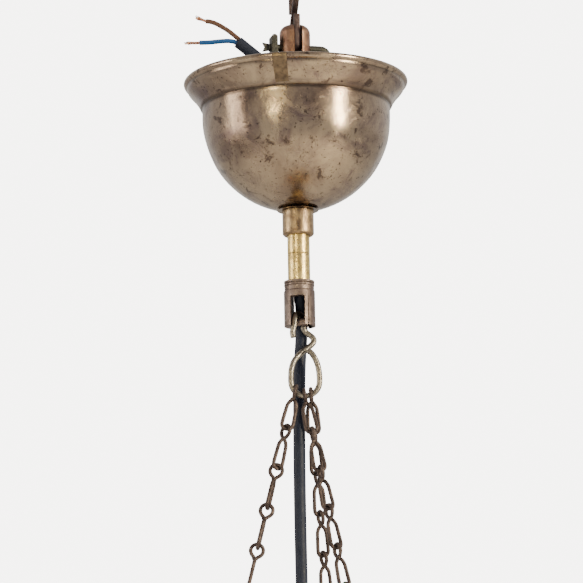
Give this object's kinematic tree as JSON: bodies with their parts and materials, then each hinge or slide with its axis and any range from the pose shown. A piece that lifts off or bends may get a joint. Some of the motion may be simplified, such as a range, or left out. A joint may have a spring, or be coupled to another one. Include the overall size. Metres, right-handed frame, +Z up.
{
  "type": "bowl pendant lamp",
  "caption": "Pendant lamp: an alabaster bowl on chains, hung by a wire hook and a threaded stem with a bell-shaped ceiling cup, a strip hanging hook and a flex.",
  "frame": {"origin": "middle of the hanging hook's upper loop, where the ceiling hook goes", "axes": "+Z up along the stem, -Y to the front, +X to the right"},
  "size_m": [0.241, 0.241, 0.7212],
  "materials": {
    "steel": "oxidised",
    "coppery_brass": "aged",
    "dark_steel": "dark oxide",
    "brass": "aged",
    "polished_brass": "polished",
    "aged_brass": "mottled, aged",
    "solder_strap": "dark",
    "pale_steel": "worn",
    "chain_metal": "oxidised",
    "alabaster": "honed, veined",
    "holder_plastic": "moulded",
    "holder_brass": "satin",
    "porcelain": "glazed",
    "contact_metal": "bright",
    "sheath": "smooth PVC",
    "blue_insulation": "PVC",
    "brown_insulation": "PVC",
    "copper": "bare strands"
  },
  "bodies": {
    "hanger": {"hanger_hook": "steel"},
    "stem": {"top_fork": "coppery_brass", "cross_pin": "dark_steel", "pin_tab": "dark_steel", "stem_tube": "brass", "stem_nut": "brass", "upper_sleeve": "polished_brass", "lower_sleeve": "polished_brass", "lock_ring": "coppery_brass", "lower_yoke": "coppery_brass", "cable_tail": "sheath", "core_blue": "blue_insulation", "core_brown": "brown_insulation", "strands_blue": "copper", "strands_brown": "copper", "cable_in_stem": "sheath", "cable_bend": "sheath"},
    "collar": {"cup_collar": "aged_brass"},
    "collar_screw_body": {"collar_screw": "brass"},
    "cup": {"ceiling_cup": "aged_brass", "rim_patch": "solder_strap"},
    "wire_hook": {"s_hook": "pale_steel", "cable_cross": "sheath"},
    "bowl_set": {"chain_left": "chain_metal", "chain_right": "chain_metal", "chain_back": "chain_metal", "bowl_hooks": "chain_metal", "hook_washers": "chain_metal", "hook_nuts": "chain_metal", "alabaster_bowl": "alabaster", "cable_drop": "sheath", "cord_grip": "holder_plastic", "holder_cap": "polished_brass", "holder_body": "holder_brass", "holder_insert": "porcelain", "holder_contacts": "contact_metal"},
    "ring": {"shade_ring": "polished_brass"}
  },
  "joints": [
    {"name": "stem_swing", "type": "hinge", "parent": "hanger", "child": "stem", "pos_m": [0, 0, -0.035], "axis": [0.9703, 0.2419, 0], "range_deg": [-15, 15]},
    {"name": "collar_slide", "type": "slide", "parent": "stem", "child": "collar", "axis": [0, 0, 1], "range_m": [-0.0225, 0]},
    {"name": "cup_turn", "type": "hinge", "parent": "collar", "child": "cup", "pos_m": [0, 0, -0.1213], "axis": [0, 0, 1], "continuous": true},
    {"name": "collar_screw_slide", "type": "slide", "parent": "collar", "child": "collar_screw_body", "axis": [0, 1, 0], "range_m": [0, 0.003]},
    {"name": "s_hook_swing", "type": "hinge", "parent": "stem", "child": "wire_hook", "pos_m": [0, 0, -0.1789], "axis": [0.989, -0.1478, 0], "range_deg": [-12, 12], "deforming": ["cable_bend"]},
    {"name": "bowl_swing", "type": "hinge", "parent": "wire_hook", "child": "bowl_set", "pos_m": [0.0012, 0, -0.2162], "axis": [1, 0, 0], "range_deg": [-10, 10], "deforming": ["cable_cross"]},
    {"name": "shade_ring_turn", "type": "hinge", "parent": "bowl_set", "child": "ring", "pos_m": [0, 0, -0.59926], "axis": [0, 0, 1], "continuous": true}
  ]
}
